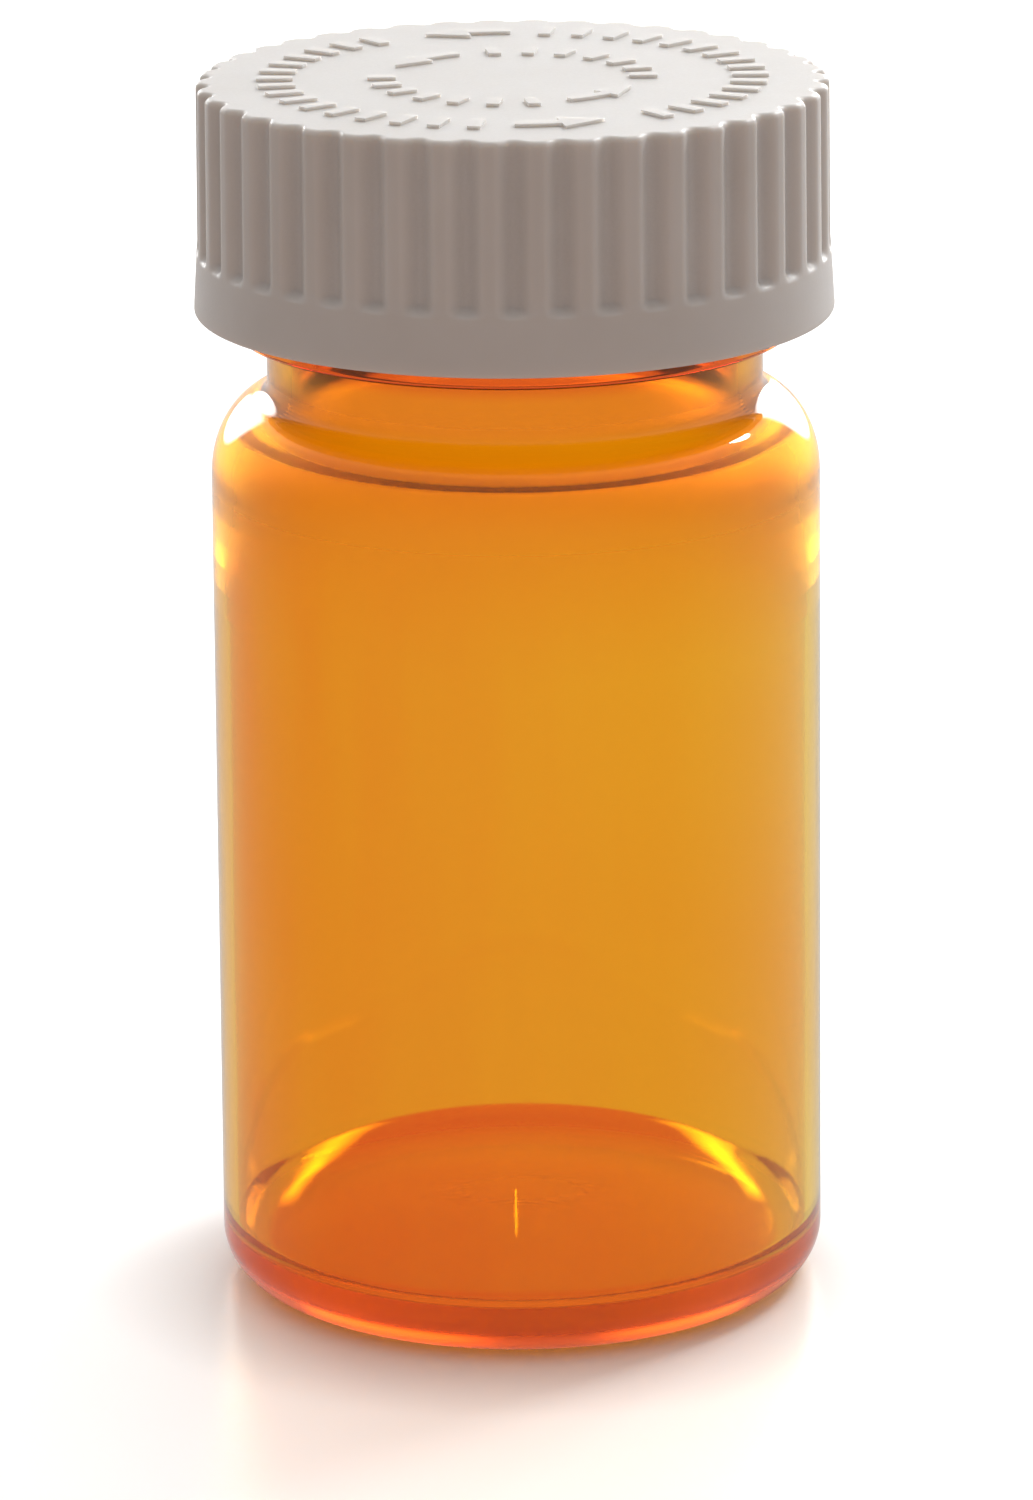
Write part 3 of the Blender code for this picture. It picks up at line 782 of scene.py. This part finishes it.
def outer_outline():
    """From the axis over the top, down the ribbed wall, and back up inside."""
    edge = TOP_EDGE
    wall_top = TOP_Z - edge
    wall_low = LEDGE + BAND_SLOPE
    outline = [(r * MM, TOP_Z) for r in (0.0, 4.0, 20.0, 20.8)]
    outline += arc(RIB_TOP_R - edge, wall_top, edge, edge, 90, 0, 8)
    outline += [(RIB_TOP_R + (RIB_R - RIB_TOP_R) * t, wall_top + (wall_low - wall_top) * t)
                for t in np.linspace(0.03, 1.0, 14)]
    outline += [(RIB_R + (BAND_R - RIB_R) * smoothstep(0.0, 1.0, t),
                 LEDGE + BAND_SLOPE * (1.0 - t)) for t in np.linspace(0.08, 1.0, 14)]
    outline += [(BAND_R, LEDGE - 0.1 * MM), (BAND_R + 0.02 * MM, LEDGE - 0.4 * MM),
                (SKIRT_R, SKIRT_Z + 0.3 * MM)]
    outline += arc(SKIRT_R - 0.2 * MM, SKIRT_Z + 0.2 * MM, 0.2 * MM, 0.2 * MM, 0, -90, 5)
    crest_low, crest_high, bore_low = RETAIN_Z
    outline += rounded([(SKIRT_R - 0.8 * MM, SKIRT_Z), (OUTER_BORE_R + 0.2 * MM, SKIRT_Z),
                        (RETAIN_R, crest_low), (RETAIN_R, crest_high),
                        (OUTER_BORE_R, bore_low), (OUTER_BORE_R, SKIRT_Z + 2.5 * MM)], 0.2 * MM)
    bore_round = OUTER_BORE_ROUND
    outline += arc(OUTER_BORE_R - bore_round, UNDERSIDE - bore_round, bore_round, bore_round,
                   0, 90, 8)
    return supported(outline + [(0.0, UNDERSIDE)])


def prism(bm, outline, low, high):
    stack_rings(bm, [[(x, y, z) for x, y in outline] for z in (low, high)])


def arrow_outline(radius, width, tail, tip):
    """Flat arrow that follows a ring from the tail angle to the tip angle."""
    neck = tip - ARROW_HEAD * (tip - tail)
    shaft, head = (share * width for share in ARROW_HALF_WIDTHS)
    angles = np.linspace(tail, neck, 10)
    points = [polar(radius + shaft, angle) for angle in angles]
    points += [polar(radius + head, neck), polar(radius, tip), polar(radius - head, neck)]
    return points + [polar(radius - shaft, angle) for angle in reversed(angles)]


def cap_marks():
    """Raised dashes in two rings, giving way to arrows that say which way to turn."""
    low = TOP_Z - MARK_ROOT
    bm = bmesh.new()
    for radius, length, places, tails in MARK_RINGS:
        pitch = TURN / places
        sweep = ARROW_LENGTH / radius
        taken = set()
        for tail in tails:
            start = tail * pitch + MARK_TURN
            outline = arrow_outline(radius, length, start, start + sweep)
            prism(bm, outline, low, OUTER_HIGH.z)
            taken.update((tail + k) % places for k in range(math.ceil(sweep / pitch) + 1))
        near, far = radius - 0.5 * length, radius + 0.5 * length
        for i in range(places):
            if i in taken:
                continue
            angle = i * pitch + MARK_TURN
            half_near = math.asin(0.5 * DASH_W / near)
            half_far = math.asin(0.5 * DASH_W / far)
            outline = [polar(near, angle - half_near), polar(far, angle - half_far),
                       polar(far, angle + half_far), polar(near, angle + half_near)]
            prism(bm, outline, low, OUTER_HIGH.z)
    top_edges = [e for e in bm.edges if min(v.co.z for v in e.verts) > TOP_Z
                 and e.calc_face_angle(0.0) > 1.0]
    bmesh.ops.bevel(bm, geom=top_edges, offset=MARK_EDGE, segments=3, profile=0.5,
                    affect="EDGES", clamp_overlap=True)
    return bm


def mark_grooves(obj):
    """Vertex attribute that is 1 in the grooves between the ribs and 0 elsewhere."""
    co = np.array([v.co for v in obj.data.vertices])
    radii = np.hypot(co[:, 0], co[:, 1])
    depth = np.clip((RIB_R - radii) / RIB_DEPTH, 0.0, 1.0)
    in_wall = (co[:, 2] > LEDGE) & (co[:, 2] < TOP_Z - 0.2 * MM) & (radii > OUTER_SKIN_R)
    # This depth is where the cap's material paints shade in the grooves
    attribute = obj.data.attributes.new("groove", "FLOAT", "POINT")
    attribute.data.foreach_set("value", (depth * in_wall).astype(np.float32))


def make_outer_shell(plastic):
    bm = revolve(outer_outline(), RIB_COUNT * RIB_COLUMNS, rib_shape)
    obj = to_object("ribbed_outer_shell", bm, [plastic])
    unite(obj, cap_marks())
    crisp(obj, TOP_Z - 0.01 * MM, TOP_Z + 0.02 * MM)
    unite(obj, lugs(UNDERSIDE + LUG_ROOT, OUTER_LUG_Z, math.pi / LUG_COUNT, 0.0, LUG_LEAN))
    mark_grooves(obj)
    return obj


# ---- Studio ----------------------------------------------------------------------
def make_floor():
    """White acrylic sheet with a faint soft reflection and a little glow away from the vial.

    Rays that come through the amber see an even backlight instead. It has a painted amber shadow
    under and behind the vial, as the photo shows, with painted caustic light along each side of it.
    """
    bm = bmesh.new()
    bmesh.ops.create_circle(bm, cap_ends=True, segments=96, radius=FLOOR_RADIUS)
    mat = bpy.data.materials.new("white_acrylic")
    mat.use_nodes = True
    mat.node_tree.nodes.clear()
    nodes = Nodes(mat.node_tree)
    place = nodes.new("ShaderNodeTexCoord").outputs["Object"]

    paper = nodes.new("ShaderNodeBsdfDiffuse", {"Color": FLOOR_WHITE}).outputs["BSDF"]
    gloss = nodes.new("ShaderNodeBsdfGlossy", {"Color": (*WHITE, 1.0),
                                               "Roughness": 0.3}).outputs["BSDF"]
    away = nodes.vector("LENGTH", place, result="Value")
    glow = nodes.new("ShaderNodeEmission",
                     {"Strength": nodes.spread(away, BODY_R, BODY_R + GLOW_REACH, 0.0, GLOW)})
    glowing = nodes.new("ShaderNodeAddShader", {0: nodes.shader_mix(FLOOR_GLOSS, paper, gloss),
                                                1: glow.outputs["Emission"]}).outputs["Shader"]

    # Painted amber shadow of the vial, an ellipse under and behind it, seen only through the amber
    flat = nodes.vector("MULTIPLY", place, (SHADOW_PATCH[1] / SHADOW_PATCH[0], 1.0, 0.0))
    reach = nodes.vector("LENGTH", flat, result="Value")
    shade = nodes.mix(nodes.spread(reach, SHADOW_PATCH[1] - SHADOW_PATCH_EDGE, SHADOW_PATCH[1] + SHADOW_PATCH_EDGE, 0.0, 1.0),
                      SHADOW_PATCH_COLOUR, OPEN_COLOUR)
    along = nodes.new("ShaderNodeSeparateXYZ", {"Vector": place}).outputs["Y"]
    # Painted caustic light along each side of the painted amber shadow
    broken = nodes.spread(nodes.noise(0.12, 1.0), 0.35, 0.6, 0.6, 1.0)
    caustic_streak = nodes.math("MULTIPLY", nodes.hump(along, *CAUSTIC_STREAK_ENDS), broken)
    caustic_streak = nodes.math("MULTIPLY", nodes.hump(reach, *CAUSTIC_STREAK_SIDES), caustic_streak)
    backlight = nodes.new("ShaderNodeEmission", {"Color": nodes.mix(caustic_streak, shade, CAUSTIC_STREAK_COLOUR),
                                                 "Strength": 1.0}).outputs["Emission"]

    through = nodes.new("ShaderNodeLightPath").outputs["Is Transmission Ray"]
    nodes.new("ShaderNodeOutputMaterial",
              {"Surface": nodes.shader_mix(through, glowing, backlight)})
    floor = to_object("floor", bm, [mat])
    floor.location.z = -FLOOR_DROP
    floor.visible_glossy = False
    floor.visible_diffuse = False


def lobe(nodes, towards, start, end, colour, gain):
    """Light from the directions round one axis, by the cosine from it."""
    direction = nodes.new("ShaderNodeTexCoord").outputs["Generated"]
    facing = nodes.vector("DOT_PRODUCT", direction, Vector(towards).normalized(), "Value")
    level = nodes.new("ShaderNodeMapRange", {"Value": facing, "From Min": start, "From Max": end,
                                             "To Min": 0.0, "To Max": gain},
                      interpolation_type="SMOOTHSTEP").outputs["Result"]
    tint = nodes.new("ShaderNodeVectorMath", {0: colour, "Scale": level}, operation="SCALE")
    return tint.outputs["Vector"]


def add_up(nodes, parts):
    total = parts[0]
    for part in parts[1:]:
        total = nodes.vector("ADD", total, part)
    return total


def light_world():
    """A soft white surround, dim and warm in front, with two windows behind.

    The camera, and anything seen through the amber, has a plain white backdrop.
    """
    world = bpy.data.worlds.new("studio")
    bpy.context.scene.world = world
    world.use_nodes = True
    nodes = Nodes(world.node_tree)
    windows = add_up(nodes, [lobe(nodes, *light) for light in WINDOWS])
    soft = add_up(nodes, [lobe(nodes, *light) for light in SOFT_LIGHTS] + [windows, AMBIENT])
    path = nodes.new("ShaderNodeLightPath").outputs
    lit = nodes.mix(path["Is Transmission Ray"], soft, nodes.vector("ADD", BACKDROP, windows))
    background = world.node_tree.nodes["Background"]
    nodes.feed(background.inputs["Color"],
               nodes.mix(path["Is Camera Ray"], lit, (*BACKDROP, 1.0)))


def add_lamp(name, location, size, power):
    """A soft box that only shows as a highlight in glossy surfaces."""
    data = bpy.data.lights.new(name, "AREA")
    data.shape = "DISK"
    data.size = size
    data.energy = power
    data.diffuse_factor = 0.0
    data.transmission_factor = 0.0
    lamp = bpy.data.objects.new(name, data)
    lamp.location = location
    aim = Vector(LAMP_TARGET) - Vector(location)
    lamp.rotation_euler = aim.to_track_quat("-Z", "Y").to_euler()
    bpy.context.scene.collection.objects.link(lamp)


def add_camera():
    data = bpy.data.cameras.new("camera")
    data.lens = CAMERA_LENS
    data.sensor_width = 36.0
    data.clip_start = 0.01
    camera = bpy.data.objects.new("camera", data)
    place = Matrix.Translation(CAMERA_PLACE)
    tilt = Matrix.Rotation(math.radians(90.0 - CAMERA_DOWN), 4, "X")
    camera.matrix_world = place @ tilt @ Matrix.Rotation(math.radians(CAMERA_ROLL), 4, "Z")
    bpy.context.scene.collection.objects.link(camera)
    bpy.context.scene.camera = camera


def main():
    cap_plastic = moulded_plastic("cap_plastic", *CAP_LOOK)
    inner_plastic = moulded_plastic("inner_plastic", *INNER_LOOK)
    hand_in(make_vial(), "vial", "vial_body")
    hand_in(make_liner(), "cap_liner", "liner")
    hand_in(make_inner_shell(inner_plastic), "cap_inner", "inner_shell")
    spring = hand_in(make_spring(inner_plastic), "cap_spring", "spring_fingers")
    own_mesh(spring)
    hand_in(make_outer_shell(cap_plastic), "cap_outer", "outer_shell")

    make_floor()
    light_world()
    for lamp in LAMPS:
        add_lamp(*lamp)
    add_camera()
    bpy.context.scene.view_settings.view_transform = "Standard"
    bpy.context.scene.cycles.max_bounces = LIGHT_BOUNCES
    bpy.context.scene.cycles.transmission_bounces = LIGHT_BOUNCES


main()
